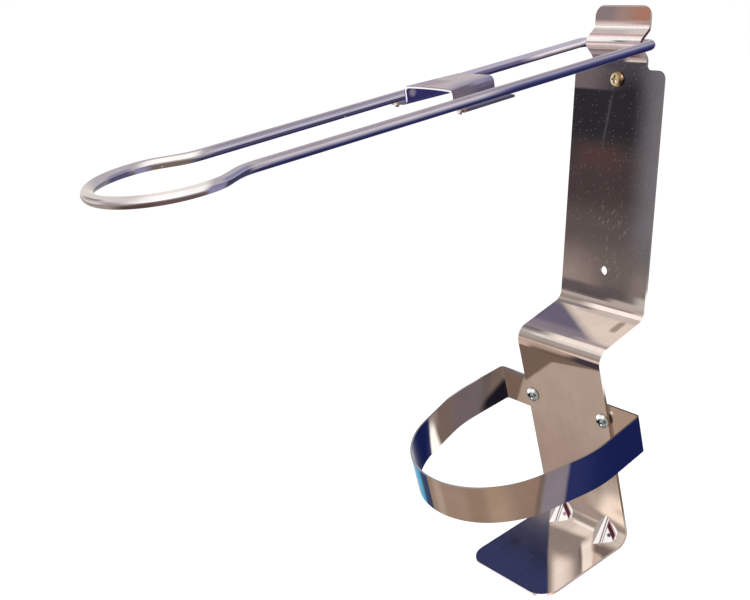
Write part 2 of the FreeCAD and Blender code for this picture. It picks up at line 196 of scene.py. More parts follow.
def add_node(
    tree: Tree, kind: str, inputs: dict | None = None, **settings: object
) -> bpy.types.Node:
    """Adds one node to a tree.

    Args:
        tree: the node tree.
        kind: its type's name, without the prefix that all shader nodes share.
        inputs: value or output socket for each input, by name or number.
        settings: the node's own settings.

    Returns:
        The new node.
    """
    node = tree.nodes.new("ShaderNode" + kind)
    for name, value in settings.items():
        setattr(node, name, value)
    for name, value in (inputs or {}).items():
        if isinstance(value, Socket):
            tree.links.new(value, node.inputs[name])
        else:
            node.inputs[name].default_value = value
    return node


# Scale per millimetre of the noise that patch edges wander by
WANDER_GRAIN = 0.07

# The middle of a noise's range, where nearly all of it lies
NOISE_LOW, NOISE_HIGH = 0.3, 0.7

BUMP_STRENGTH = 0.5

# Slope and rest of the rim tint's two parts, which together let the metal reflect no more
# at a low angle than it does face on
RIM_ABOVE = (0.786, 0.214)
RIM_BELOW = (0.537, 0.463)


class Painter:
    """Builds the colour of one finish from patches, marks and grain."""

    def __init__(self, material: bpy.types.Material, wander: float) -> None:
        """Starts from the surface's place in millimetres and its facing.

        Args:
            material: the material to build in.
            wander: how far patch edges wander, in millimetres.
        """
        self.tree = material.node_tree
        self.known = {}
        coordinates = add_node(self.tree, "TexCoord")
        self.facing = coordinates.outputs["Normal"]
        inputs = {"Vector": coordinates.outputs["Object"], "Scale": (1 / MM,) * 3}
        self.place = add_node(self.tree, "Mapping", inputs).outputs[0]
        inputs = {"Vector": self.place, "Scale": WANDER_GRAIN, "Detail": 1.0}
        noise = add_node(self.tree, "TexNoise", inputs).outputs[0]
        drift = self.vector("SCALE", {0: (wander,) * 3, "Scale": noise})
        self.wandered = self.vector("ADD", {0: self.place, 1: drift})
        self.wander = wander

    def number(self, operation: str, first: object, second: object) -> Socket:
        """Result of a maths node on two values or sockets."""
        inputs = {0: first, 1: second}
        return add_node(self.tree, "Math", inputs, operation=operation).outputs[0]

    def vector(self, operation: str, inputs: dict, result: int | str = 0) -> Socket:
        """Result of a vector maths node."""
        node = add_node(self.tree, "VectorMath", inputs, operation=operation)
        return node.outputs[result]

    def measure(self, ruler: Ruler) -> tuple[Socket, float]:
        """Reading of a ruler.

        Args:
            ruler: the line, point or direction.

        Returns:
            The socket that holds the reading, and what to add to a value to compare with it.
        """
        origin = Vector(ruler.origin) + Vector((self.wander / 2,) * 3)
        if ruler not in self.known:
            if ruler.reading is Reading.AWAY:
                inputs = {0: self.wandered, 1: tuple(origin)}
                self.known[ruler] = self.vector("DISTANCE", inputs, "Value")
            else:
                source = self.facing if ruler.reading is Reading.FACING else self.wandered
                self.known[ruler] = self.vector("DOT_PRODUCT", {0: source, 1: ruler.way}, "Value")
        shift = origin.dot(Vector(ruler.way)) if ruler.reading is Reading.PLACE else 0.0
        return self.known[ruler], shift

    def edge(self, edge: Edge) -> Socket:
        """Mask of one soft edge, from 0 to 1.

        Args:
            edge: the edge.

        Returns:
            The socket that holds the mask.
        """
        if edge not in self.known:
            value, shift = self.measure(edge.ruler)
            start, end = edge.start + shift, edge.end + shift
            inputs = {"Value": value, "From Min": start, "From Max": end}
            node = add_node(self.tree, "MapRange", inputs, interpolation_type="SMOOTHSTEP")
            self.known[edge] = node.outputs[0]
        return self.known[edge]

    def mask(self, edges: tuple[Edge, ...], strength: float = 1.0) -> Socket:
        """Mask of a patch.

        Args:
            edges: its soft edges, at least one.
            strength: the mask's highest value.

        Returns:
            The product of its edges and the strength.
        """
        product = self.edge(edges[0])
        for count in range(2, len(edges) + 1):
            held = edges[:count]
            if held not in self.known:
                self.known[held] = self.number("MULTIPLY", product, self.edge(held[-1]))
            product = self.known[held]
        return product if strength == 1.0 else self.number("MULTIPLY", product, strength)

    def over(self, under: object, colour: object, share: object) -> Socket:
        """Colour laid over another by a share."""
        inputs = {"Factor": share, 6: under, 7: colour}
        return add_node(self.tree, "Mix", inputs, data_type="RGBA").outputs[2]

    def paint(self, colour: str, tints: Tints) -> object:
        """Lays patches over a colour.

        Args:
            colour: sRGB hex value of the ground.
            tints: the patches, lowest first.

        Returns:
            The colour, or the socket that holds it.
        """
        painted = linear(colour)
        for patch in tints:
            share = self.mask(patch.edges, patch.strength)
            painted = self.over(painted, linear(patch.colour), share)
        return painted

    def streaks(self, cell: Triple, low: float, high: float) -> Socket:
        """Noise drawn out into streaks.

        Args:
            cell: the streaks' size along X, Y and Z, in millimetres.
            low: lowest value.
            high: highest value.

        Returns:
            The socket that holds the value.
        """
        scale = tuple(1 / size for size in cell)
        inputs = {"Vector": self.place, "Scale": scale}
        drawn = add_node(self.tree, "Mapping", inputs).outputs[0]
        inputs = {"Vector": drawn, "Scale": 1.0, "Detail": 3.0}
        noise = add_node(self.tree, "TexNoise", inputs).outputs[0]
        inputs = {"Value": noise, "From Min": NOISE_LOW, "From Max": NOISE_HIGH}
        inputs |= {"To Min": low, "To Max": high}
        return add_node(self.tree, "MapRange", inputs).outputs[0]

    def scatter(self, marks: Marks) -> Socket:
        """Mask of scattered marks.

        Args:
            marks: what is scattered.

        Returns:
            The socket that holds the mask.
        """
        scale = tuple(1 / size for size in marks.cell)
        inputs = {"Vector": self.place, "Rotation": (0.0, math.radians(marks.turn), 0.0)}
        turned = add_node(self.tree, "Mapping", inputs).outputs[0]
        inputs = {"Vector": turned, "Scale": scale}
        drawn = add_node(self.tree, "Mapping", inputs).outputs[0]
        cells = add_node(self.tree, "TexVoronoi", {"Vector": drawn, "Scale": 1.0})
        near = self.number("LESS_THAN", cells.outputs["Distance"], marks.radius)
        kept = self.number("GREATER_THAN", cells.outputs["Color"], 1 - marks.share)
        found = self.number("MULTIPLY", self.number("MULTIPLY", near, kept), marks.strength)
        return self.number("MULTIPLY", found, self.mask(marks.edges)) if marks.edges else found

    def even_rim(self, colour: Socket) -> Socket:
        """Rim tint that keeps a metal's tone steady down to a low angle of view.

        Args:
            colour: the metal's colour.

        Returns:
            The tint that holds back the pale sheen a dark mirror would show near its rim.
        """
        above, below = (
            self.vector("MULTIPLY_ADD", {0: colour, 1: (slope,) * 3, 2: (rest,) * 3})
            for slope, rest in (RIM_ABOVE, RIM_BELOW)
        )
        return self.vector("DIVIDE", {0: above, 1: below})

    def brighten(self, colour: object, value: Socket) -> Socket:
        """Colour made lighter or darker by a factor."""
        return self.vector("SCALE", {0: colour, "Scale": value})


@dataclass(frozen=True)
class Zone:
    """A part of a finish beyond a sharp edge, with its own patches and marks."""

    edge: Edge
    tints: Tints
    marks: tuple[Marks, ...] = ()


@dataclass(frozen=True)
class MetalFinish:
    """A metal surface with painted reflection and shade in patches, grain, marks and soft smudges.
    """

    name: str
    colour: str
    roughness: float
    tints: Tints = ()
    grain: Triple = (0.3, 30.0, 30.0)
    grain_depth: float = 0.08
    smudge: float = 0.05
    smudge_size: float = 14.0
    bump: float = 0.01
    marks: tuple[Marks, ...] = ()
    wander: float = 1.2
    beyond: Zone | None = None

    def surface(
        self,
        painter: Painter,
        tone: Socket,
        tints: Tints,
        marks: tuple[Marks, ...],
    ) -> Socket:
        """Metal shader of one zone.

        Args:
            painter: the material's painter.
            tone: grain and smudges, as a factor near 1.
            tints: the zone's patches.
            marks: the zone's marks.

        Returns:
            The shader's socket.
        """
        colour = painter.brighten(painter.paint(self.colour, tints), tone)
        for kind in marks:
            colour = painter.over(colour, linear(kind.colour), painter.scatter(kind))
        relief = {"Height": tone, "Distance": self.bump * MM, "Strength": BUMP_STRENGTH}
        inputs = {"Base Color": colour, "Metallic": 1.0, "Specular Tint": painter.even_rim(colour)}
        inputs["Roughness"] = painter.number("MULTIPLY", tone, self.roughness)
        inputs["Normal"] = add_node(painter.tree, "Bump", relief).outputs[0]
        return add_node(painter.tree, "BsdfPrincipled", inputs).outputs[0]

    def material(self) -> bpy.types.Material:
        """The finish as a Blender material.

        Returns:
            The material.
        """
        made = bpy.data.materials.new(self.name)
        made.use_nodes = True
        tree = made.node_tree
        tree.nodes.clear()
        painter = Painter(made, self.wander)
        grain = painter.streaks(self.grain, 1 - self.grain_depth, 1 + self.grain_depth)
        smudge = painter.streaks((self.smudge_size,) * 3, 1 - self.smudge, 1 + self.smudge)
        tone = painter.number("MULTIPLY", grain, smudge)
        shader = self.surface(painter, tone, self.tints, self.marks)
        if self.beyond:
            other = self.surface(painter, tone, self.beyond.tints, self.beyond.marks)
            share = painter.edge(self.beyond.edge)
            inputs = {0: share, 1: shader, 2: other}
            shader = add_node(tree, "MixShader", inputs).outputs[0]
        add_node(tree, "OutputMaterial", {"Surface": shader})
        return made


def dress(node: Object, material: bpy.types.Material, mirrored: bool = True) -> None:
    """Gives a frame node its finish.

    Args:
        node: the frame's object.
        material: its finish.
        mirrored: False keeps it out of reflections, for a piece whose neighbours' finishes
            already hold the tones that they reflect of it.
    """
    for slot in node.material_slots:
        slot.link = "OBJECT"
        slot.material = material
    node.visible_glossy = mirrored


# ---- the bracket's finish

STEP_LEAN = leaning(Y_WAY, X_WAY, 0.52)
PANEL_STEEP = leaning(PANEL_WAY, X_WAY, 0.78, STEP_EDGE)
PANEL_FAN = leaning(X_WAY, PANEL_WAY, 0.5, (0.0, -5.0, -237.0))
PANEL_FLAT = leaning(PANEL_WAY, X_WAY, 0.13, STEP_EDGE)
FOOT_LEAN = leaning(X_WAY, FOOT_WAY, -0.953, HEEL)
STEP_NICK = away_from(21.8, -12.0, -128.6)
ABOVE_STEP = HEIGHT.to(-120.2, -119.2)
FIRST_BEND = HEIGHT.band(-126.4, -119.6, 0.6)
STEP_ZONE = (*HEIGHT.band(-137.2, -125.6, 0.8), FACES_UP.to(0.86, 0.905))
SECOND_BEND = HEIGHT.band(-146.6, -135.6, 0.6)
BELOW_STEP = HEIGHT.to(-145.6, -146.2)
FOOT_CURVE = leaning(FOOT_WAY, X_WAY, 0.14, HEEL)
FOOT_FAN = leaning(X_WAY, FOOT_WAY, -0.8, HEEL)
FOOT_BLOB = away_from(4.0, -14.0, -256.3)
# Centre of a darker spot on the foot's left front
FOOT_DARK_SPOT = away_from(-18.7, -38.2, -262.1)
HEEL_ZONE = HEIGHT.to(-247.0, -250.0)
HEEL_LEAN = leaning(Z_WAY, X_WAY, 0.16)
FOOT_ZONE = (FACES_UP.to(0.85, 0.95), HEIGHT.to(-250.0, -252.0))
DART_ZONE = HEIGHT.to(-240.0, -241.5)
ACROSS_FACET = (0.77, 0.59, -0.24)
UP_FACET = (-0.09, 0.47, 0.88)
SCRATCH = leaning(X_WAY, Z_WAY, -0.162)
PLATE_ZONE = HEIGHT.to(-118.0, -110.0)
WORN_MIDDLE = (*HEIGHT.band(-106.0, -66.0, 14.0), *ACROSS.band(-10.0, 14.0, 12.0))


def plate_tints() -> Tints:
    """Painted reflections on the upper plate: a dark room, lighter towards the step and the right.

    Returns:
        The patches, lowest first.
    """
    # Every patch here but the scratch is a painted reflection of the room, the dark line above the
    # first bend too
    red_patch = (*HEIGHT.band(-47.0, -36.0, 11.0), *ACROSS.band(-22.0, 4.0, 14.0))
    dark_line = (*HEIGHT.band(-119.0, -115.6, 2.2), *ACROSS.band(-16.0, 7.0, 12.0))
    scratch = (*SCRATCH.band(-2.1, -0.7, 1.4), *HEIGHT.band(-34.0, -10.0, 14.0))
    return (
        tint("#2a282c", ABOVE_STEP),
        tint("#454146", HEIGHT.to(-7.0, 7.0)),
        tint("#443938", ABOVE_STEP, HEIGHT.to(-26.0, -43.0)),
        tint("#584c4b", ABOVE_STEP, HEIGHT.to(-60.0, -80.0)),
        tint("#665a56", ABOVE_STEP, HEIGHT.to(-80.0, -99.0)),
        tint("#8c7a74", ABOVE_STEP, HEIGHT.to(-87.0, -111.0), ACROSS.to(5.0, -22.0)),
        tint("#4f3836", *red_patch, strength=0.8),
        tint("#6c686c", HEIGHT.to(-114.0, -74.0), ACROSS.to(10.0, 31.0)),
        tint("#6c5f61", HEIGHT.to(-6.8, -5.0), HEIGHT.to(8.0, 4.0), ACROSS.to(7.0, -26.0)),
        tint("#84766f", HEIGHT.to(-92.0, -108.0), ABOVE_STEP, ACROSS.to(14.0, 27.0), strength=0.7),
        tint("#5a5150", *HEIGHT.band(-116.8, -111.4, 4.0), *ACROSS.band(0.0, 16.0, 7.0)),
        tint("#5a5051", *HEIGHT.band(-119.2, -112.4, 3.0), ACROSS.to(12.0, 0.0)),
        tint("#433838", *dark_line, strength=0.3),
        tint("#756b6e", *scratch, strength=0.25),
        tint("#ad9e98", *HEIGHT.band(-121.0, -117.6, 1.8), ACROSS.to(0.0, 12.0)),
        tint("#b3a9a2", *HEIGHT.band(-121.0, -113.4, 3.0), ACROSS.to(20.0, 28.0)),
    )


def tab_tints() -> Tints:
    """Painted reflections and highlights in bands over the tab, the groove and the neck.

    Returns:
        The patches, lowest first.
    """
    tab = HEIGHT.to(26.0, 28.0)
    left = ACROSS.to(6.0, -4.0)
    right = ACROSS.to(1.0, 13.0)
    neck = ACROSS.to(2.0, 8.0)
    # Bands of painted reflection across the bends; the palest ones are painted highlights
    bands = (
        ("#a9918b", 28.6, 30.0, 1.0),
        ("#d3b8b4", 27.4, 29.0, 0.8, ACROSS.to(22.0, -6.0)),
        ("#dccbc8", 26.9, 28.0, 0.5),
        ("#fdf6f1", 26.0, 27.1, 0.5),
        ("#d6cdc9", 25.1, 26.0, 0.5),
        ("#c3b3b1", 23.0, 25.1, 0.5),
        ("#d5c7be", 23.0, 25.1, 0.5, right),
        ("#c0a6a5", 22.1, 23.0, 0.4),
        ("#fae0db", 21.1, 22.1, 0.4),
        ("#fdf7f0", 19.9, 21.2, 0.4),
        ("#f2f2ed", 19.0, 20.0, 0.4, left),
        ("#bdb1b1", 19.0, 20.0, 0.4, right),
        ("#b5a2a7", 18.0, 19.1, 0.4),
        ("#e2cccc", 17.1, 18.1, 0.4),
        ("#b2a299", 16.1, 17.2, 0.4),
        ("#a79490", 15.1, 16.1, 0.4),
        ("#77686a", 13.9, 15.1, 0.4),
        ("#8b7e80", 12.1, 14.0, 0.4),
        ("#6d5d62", 10.8, 12.2, 0.4),
        ("#8d7872", 11.0, 12.2, 0.4, neck),
        ("#a5938a", 10.0, 11.2, 0.4, neck),
        ("#c8bab4", 9.1, 10.2, 0.4, neck),
        ("#4c4446", 8.0, 9.1, 0.4),
    )
    return (
        tint("#857678", tab),
        tint("#9a7e77", tab, ACROSS.to(-9.0, 0.0)),
        tint("#a27461", tab, ACROSS.to(0.0, 12.0)),
        tint("#b5a7a3", HEIGHT.to(36.5, 37.5)),
        *(tint(c, *HEIGHT.band(low, high, soft), *held) for c, low, high, soft, *held in bands),
    )


def first_bend_tints() -> Tints:
    """Painted reflection bands, with a bright painted highlight, along the bend between the plate
    and the step.

    Returns:
        The patches, lowest first.
    """
    return tints_in(
        FIRST_BEND,
        ("#ad9d96",),
        ("#968880", *FACES_UP.band(0.27, 0.47, 0.06)),
        ("#c6b3a8", *FACES_UP.band(0.27, 0.47, 0.06), ACROSS.to(20.0, 28.0)),
        ("#92857c", *FACES_UP.band(0.44, 0.56, 0.06)),
        ("#aa9f94", *FACES_UP.band(0.56, 0.72, 0.08)),
        ("#fdece2", *FACES_UP.band(0.43, 0.74, 0.06), ACROSS.to(-17.0, 1.0)),
        ("#857a7c", FACES_UP.to(0.7, 0.78), ACROSS.to(0.0, -8.0)),
        ("#c9b8ae", FACES_UP.to(0.7, 0.85), ACROSS.to(-8.0, 4.0)),
    )


def step_tints() -> Tints:
    """Painted reflections on the step: purple grey on the left, beige on the right, with a small
    nick.

    Returns:
        The patches, lowest first.
    """
    return (
        *tints_in(
            STEP_ZONE,
            ("#6b6274",),
            ("#857a84", DEPTH.to(-20.5, -25.0)),
            ("#8d7f86", DEPTH.to(-26.0, -28.5)),
            ("#7c7174", DEPTH.to(-9.0, -6.0)),
            ("#b7a7a0", STEP_LEAN.to(-20.4, -17.2)),
            ("#dbc8ba", STEP_LEAN.to(-18.4, -13.6)),
            ("#c5b4aa", DEPTH.to(-8.4, -6.4), ACROSS.to(-16.0, -10.0)),
            ("#ac9a99", DEPTH.to(-25.6, -28.6), ACROSS.to(2.0, 10.0)),
        ),
        tint("#a08d80", STEP_NICK.to(6.6, 3.4), ACROSS.to(18.4, 20.4), ACROSS.to(24.8, 23.0)),
    )


def second_bend_tints() -> Tints:
    """Painted reflection bands, with a painted highlight and a dark painted line, along the bend
    between the step and the lower panel.

    Returns:
        The patches, lowest first.
    """
    bands = (
        ("#8f8388", 0.85, 0.93),
        ("#786c6e", 0.77, 0.87),
        ("#94878a", 0.67, 0.77),
        ("#ded3c8", 0.5, 0.68),
        ("#a69b95", 0.38, 0.52),
        ("#a2968e", 0.27, 0.4),
        ("#99867c", 0.12, 0.28),
        ("#bba498", 0.01, 0.13),
        ("#a08879", -0.17, 0.01),
        ("#866d60", -0.32, -0.17),
    )
    laid = [tint(c, *SECOND_BEND, *FACES_UP.band(low, high, 0.04)) for c, low, high in bands]
    laid += [
        *tints_in(
            SECOND_BEND,
            ("#ad9d9e", *FACES_UP.band(0.86, 0.93, 0.04), ACROSS.to(0.0, 20.0)),
            ("#f3e3d6", *FACES_UP.band(0.67, 0.88, 0.05), ACROSS.to(-20.0, 0.0)),
            ("#b5aaa4", *FACES_UP.band(0.5, 0.68, 0.04), ACROSS.to(-14.0, -26.0)),
            ("#d2baae", *FACES_UP.band(0.01, 0.13, 0.04), ACROSS.to(-8.0, 16.0)),
            ("#4a3e40", *FACES_UP.band(-0.34, -0.18, 0.05), ACROSS.to(-8.0, 18.0)),
        ),
    ]
    return tuple(laid)


def panel_tints() -> Tints:
    """Painted reflections on the lower panel: a dark curved one over tan, and beige near the foot.

    Returns:
        The patches, lowest first.
    """
    middle = (ACROSS.to(-18.0, -8.0), ACROSS.to(14.0, 4.0))
    return (
        tint("#9d897c", BELOW_STEP),
        tint("#937e72", PANEL.to(36.0, 80.0)),
        tint("#68554a", BELOW_STEP, PANEL_STEEP.to(10.4, 8.0)),
        tint("#68554a", BELOW_STEP, PANEL_FLAT.to(13.4, 11.8)),
        tint("#5a4b42", BELOW_STEP, PANEL.to(9.6, 7.4), *middle),
        tint("#3a3038", *PANEL.band(5.0, 8.4, 0.8), ACROSS.to(4.0, 16.0)),
        tint("#b0988a", *PANEL.band(5.0, 8.2, 1.0), ACROSS.to(-18.0, -25.0)),
        tint("#a09083", PANEL.to(74.0, 86.0), ACROSS.to(13.0, 20.0)),
        tint("#a39386", PANEL.to(88.0, 98.0), ACROSS.to(0.0, 10.0)),
        tint("#e0cab8", PANEL.to(84.0, 97.0), PANEL_FAN.to(8.0, 19.0)),
        tint("#8f7d74", HEEL_LEAN.to(-236.5, -241.0), *ACROSS.band(-16.0, 40.0, 4.0)),
        tint("#766660", HEEL_LEAN.to(-240.5, -244.0), ACROSS.to(17.0, 28.0), strength=0.8),
        tint("#c9b09f", *PANEL.band(98.6, 103.0, 2.0), ACROSS.to(22.0, 28.0), strength=0.8),
    )


def foot_tints() -> Tints:
    """Painted reflections on the foot: navy on the left, taupe and beige on the right, with a
    painted highlight along the heel.

    Returns:
        The patches, lowest first.
    """
    pale_band = FOOT_LEAN.band(-26.0, -12.0, 9.0)
    pale_core = FOOT_LEAN.band(-26.0, -18.0, 7.0)
    wedge = (FOOT_LEAN.to(-6.4, -3.2), FOOT_FAN.to(9.5, 6.0))
    # A darker band within the foot's painted reflections
    dark_band = (*FOOT_LEAN.band(-7.4, -5.0, 2.0), *FOOT.band(20.0, 36.0, 6.0))
    shade = (*FOOT.band(12.0, 19.0, 4.0), FOOT_FAN.to(4.0, 9.0))
    return (
        tint("#8e7e76", HEEL_ZONE),
        tint("#cdbcae", HEEL_ZONE, FOOT_CURVE.to(15.4, 10.0), ACROSS.to(-20.0, -14.0)),
        tint("#dfcdbe", HEEL_ZONE, FOOT_CURVE.to(15.0, 9.6), *ACROSS.band(-2.0, 12.0, 8.0)),
        tint("#dac5b6", *pale_band, *FOOT_ZONE, FOOT_BLOB.to(14.0, 27.0)),
        tint("#ecd8ca", *pale_core, *FOOT_ZONE, FOOT_BLOB.to(17.0, 30.0)),
        tint("#f0dccd", *wedge, *FOOT_ZONE, ACROSS.to(8.5, 15.0)),
        tint("#cdb2a2", *FOOT_LEAN.band(3.6, 10.0, 4.0), *FOOT_ZONE, ACROSS.to(8.0, 13.0)),
        tint("#7c6a62", *FOOT_ZONE, *dark_band),
        tint("#75645d", *shade, HEIGHT.to(-250.0, -252.0)),
        tint("#34364e", *FOOT_ZONE, FOOT_LEAN.to(-29.2, -32.0)),
        tint("#2e3047", *FOOT_ZONE, FOOT_LEAN.to(-30.0, -33.0), FOOT_LEAN.to(-50.0, -40.0)),
        tint("#34385a", *FOOT_ZONE, FOOT_LEAN.to(-29.4, -32.0), FOOT.to(36.0, 58.0)),
        tint("#413f52", *FOOT_ZONE, FOOT_LEAN.to(-29.4, -32.0), FOOT.to(42.0, 22.0)),
        tint("#55515f", *FOOT_ZONE, FOOT_LEAN.to(-28.4, -31.6), FOOT.to(29.0, 13.0)),
        tint("#777071", HEIGHT.to(-247.0, -250.0), ACROSS.to(-16.0, -19.0), FOOT.to(20.0, 7.0)),
        tint("#2f2c3a", FOOT_DARK_SPOT.to(4.6, 1.0), HEIGHT.to(-250.0, -252.0), strength=0.6),
        tint("#93847b", HEEL_ZONE, FOOT.to(3.6, 2.4), *ACROSS.band(-13.0, 24.0, 6.0)),
        tint("#f4e6e0", HEEL_ZONE, *FOOT.band(3.6, 4.8, 1.0), *ACROSS.band(-6.0, 13.0, 4.0)),
    )


def dart_tints() -> Tints:
    """Painted light on the two pressed darts: white painted highlights on the facets that face
    right, darker facets facing left, maroon strokes of painted shade, and a dimple.

    Returns:
        The patches, lowest first.
    """
    facet = (DART_ZONE, FACES_RIGHT.to(0.3, 0.45), FACES_ROOM.to(0.0, 0.2))
    tints = [tint("#a3958f", DART_ZONE, FACES_RIGHT.to(-0.3, -0.45)), tint("#fbf5f3", *facet)]
    for corner, dimple_colour in ((-15.1, "#b58f93"), (18.9, "#5d5556")):
        origin = (corner, -9.9, -254.1)
        across = Ruler(ACROSS_FACET, origin)
        stroke = leaning(ACROSS_FACET, UP_FACET, 0.86, origin)
        # Maroon stroke of painted shade along the facet's edge
        maroon = (*stroke.band(9.2, 12.4, 0.9), *across.band(1.6, 7.4, 1.2))
        dimple = away_from(corner + 2.8, -5.4, -250.9)
        tints += [
            tint("#857775", *across.band(0.1, 0.8, 0.4), *facet),
            tint("#9d9190", *across.band(1.4, 1.9, 0.3), *facet),
            tint("#54262f", *maroon, *facet),
            tint("#c9a7a6", *stroke.band(12.5, 13.2, 0.4), *facet),
            tint(dimple_colour, dimple.to(1.5, 0.7), *facet),
            tint("#e3b8b2", across.to(6.4, 7.4), stroke.to(9.6, 8.4), *facet),
        ]
    return tuple(tints)


def cut_edge_tints() -> Tints:
    """Painted highlights and darker painted reflections along the strip's cut edges.

    Returns:
        The patches, lowest first.
    """
    side = FACES_RIGHT.to(0.9, 0.97)
    return (
        tint("#a2958e", side),
        tint("#a2958e", FACES_RIGHT.to(-0.9, -0.97)),
        *tints_in(
            (side,),
            ("#736d6f", HEIGHT.to(-110.0, -98.0), HEIGHT.to(16.0, 8.0)),
            ("#4d3236", *HEIGHT.band(17.5, 26.0, 1.0)),
            ("#fbf6f2", *HEIGHT.band(-163.0, -110.0, 6.0)),
        ),
        tint("#e6dfdb", FACES_ROOM.to(0.9, 0.97), HEIGHT.to(-258.0, -262.0)),
        tint("#6b5547", side, *HEIGHT.band(-236.0, -160.0, 12.0)),
    )


# Mirror polished stainless sheet: close to a mirror, so its colour holds painted reflections
# of the room; its rolling grain runs along the strip, and handling has left dust and hairlines.
BRACKET_FINISH = MetalFinish(
    name="mirror_polished_stainless_sheet",
    colour="#9a8f89",
    roughness=0.24,
    tints=first_bend_tints()
    + step_tints()
    + second_bend_tints()
    + panel_tints()
    + foot_tints()
    + dart_tints()
    + cut_edge_tints(),
    grain=(0.35, 40.0, 40.0),
    grain_depth=0.055,
    wander=0.4,
    marks=(Marks("#a79d9b", (2.1, 2.1, 2.1), 0.12, 0.3, 0.35),),
    beyond=Zone(
        HEIGHT.to(-120.3, -120.1),
        tints=plate_tints() + tab_tints() + first_bend_tints() + cut_edge_tints(),
        marks=(
            Marks("#a79d9b", (2.1, 2.1, 2.1), 0.12, 0.3, 0.35),
            Marks("#a0969a", (1.4, 1.4, 1.4), 0.24, 0.2, 0.24, edges=(PLATE_ZONE,)),
            Marks("#c4bbb8", (2.0, 2.0, 2.0), 0.22, 0.4, 0.4, edges=WORN_MIDDLE),
            Marks("#cfc7c5", (0.9, 9.0, 8.0), 0.16, 0.4, 0.35, turn=-18.0, edges=WORN_MIDDLE),
            Marks("#c9bfbd", (3.6, 3.6, 3.6), 0.09, 0.22, 0.5, edges=(PLATE_ZONE,)),
            Marks("#9d9396", (0.7, 9.0, 9.0), 0.12, 0.2, 0.2, turn=9.0, edges=(PLATE_ZONE,)),
        ),
    ),
)


# ---- the ring's finish

FOLD_LEAN = leaning(PANEL_WAY, Y_WAY, 0.5, STEP_EDGE)
GLARE_LEAN = leaning(Y_WAY, PANEL_WAY, -0.42, STEP_EDGE)
NAVY_LEAN = leaning(Y_WAY, PANEL_WAY, -0.12, STEP_EDGE)
TAIL_STEEP = leaning(PANEL_WAY, X_WAY, 1.9, STEP_EDGE)
OUTER_RIGHT = (ACROSS.to(30.0, 33.0), FACES_RIGHT.to(0.1, 0.3))
INNER_LEFT = (ACROSS.to(-20.0, -24.0), FACES_RIGHT.to(0.2, 0.4))
TAIL_ZONE = (FACES_ROOM.to(0.8, 0.9), DEPTH.to(-29.0, -27.5))
TAIL_GLINT = away_from(32.3, -24.2, -171.3)


def ring_tints() -> Tints:
    """Painted reflections on the strap ring, of a different part of the room all round.

    Returns:
        The patches, lowest first.
    """
    front = (FACES_ROOM.to(0.1, 0.25), DEPTH.to(-76.0, -80.0))
    return (
        *tints_in(
            front,
            ("#8a7364",),
            ("#9a8678", *FACES_RIGHT.band(0.0, 0.12, 0.08)),
            ("#826b5b", *FACES_RIGHT.band(0.42, 0.6, 0.1)),
            ("#907865", *FACES_RIGHT.band(0.62, 0.74, 0.06)),
            ("#7f695a", FACES_RIGHT.to(0.74, 0.84)),
            ("#303c56", FACES_RIGHT.to(-0.07, -0.11)),
            ("#2788ad", FACES_RIGHT.to(-0.21, -0.26)),
            ("#77706f", FACES_RIGHT.to(-0.5, -0.6)),
        ),
        *tints_in(
            OUTER_RIGHT,
            ("#7f675a", DEPTH.to(-97.0, -92.0)),
            ("#65564c", DEPTH.to(-90.0, -87.6)),
            ("#766c72", DEPTH.to(-87.6, -84.6)),
            ("#232850", DEPTH.to(-74.6, -72.0)),
            ("#191f49", DEPTH.to(-70.0, -52.0)),
        ),
        *tints_in(
            INNER_LEFT,
            ("#675a5a",),
            ("#6d5b53", DEPTH.to(-56.0, -68.0)),
            ("#5a4f4e", DEPTH.to(-44.0, -33.0)),
            ("#6c5b52", DEPTH.to(-38.0, -30.0)),
            # Near-black painted shade low in the fold
            ("#18151f", FOLD_LEAN.to(41.5, 47.5), DEPTH.to(-42.0, -34.0)),
            ("#8c7a71", DEPTH.to(-74.0, -80.0)),
            # Painted glare
            ("#f8efe6", GLARE_LEAN.to(-57.0, -61.0), PANEL.to(30.0, 40.0)),
            ("#2c2f50", NAVY_LEAN.to(-51.0, -53.4)),
            ("#1b2149", DEPTH.to(-84.0, -88.0)),
            ("#262b50", DEPTH.to(-98.0, -106.0)),
        ),
        *tints_in(
            TAIL_ZONE,
            ("#9a8577",),
            ("#947d6d", ACROSS.to(-10.0, 10.0)),
            ("#6a574b", TAIL_STEEP.to(-28.0, -33.0)),
            ("#665b59", PANEL.to(34.0, 31.0), ACROSS.to(10.0, -10.0)),
            # Painted shadow along the tail's right edge
            ("#735d4e", *ACROSS.band(28.0, 32.0, 0.8)),
        ),
        # Painted glint: the reflection of the right ring screw in the tail
        tint("#d2c6be", TAIL_GLINT.to(1.4, 0.5)),
        # Painted reflections on the top rim; the bottom rim below is in painted shade
        *tints_in(
            (FACES_RIM.to(0.75, 0.9),),
            ("#98959a",),
            ("#6d6668", ACROSS.to(-36.0, -42.0)),
            ("#c9c6ca", ACROSS.to(-36.0, -42.0), *DEPTH.band(-62.0, -42.0, 8.0)),
            ("#8f7d74", ACROSS.to(24.0, 34.0)),
            ("#584b51", ACROSS.to(24.0, 34.0), DEPTH.to(-62.0, -46.0)),
        ),
        tint("#5d5a5f", FACES_RIM.to(-0.75, -0.9)),
    )


# Polished stainless strap, 21 x 1 mm: slit from bright coil, with its grain along the ring.
STRAP_FINISH = MetalFinish(
    name="bright_annealed_stainless_strap",
    colour="#8f8480",
    roughness=0.16,
    tints=ring_tints(),
    grain=(18.0, 18.0, 0.5),
    grain_depth=0.03,
    marks=(Marks("#a9a3a3", (5.0, 5.0, 3.0), 0.07, 0.2, 0.4),),
)


# ---- the lever's finishes

LEFT_ARM = ACROSS.to(2.0, -2.0)
RIGHT_ARM = ACROSS.to(-2.0, 2.0)
BEHIND_SADDLE = LEVER.to(112.0, 88.0)
BEFORE_SADDLE = LEVER.to(96.0, 124.0)
LOOP_LEAN = leaning(LEVER_WAY, LEVER_UP_WAY, 1.5, PIVOT)


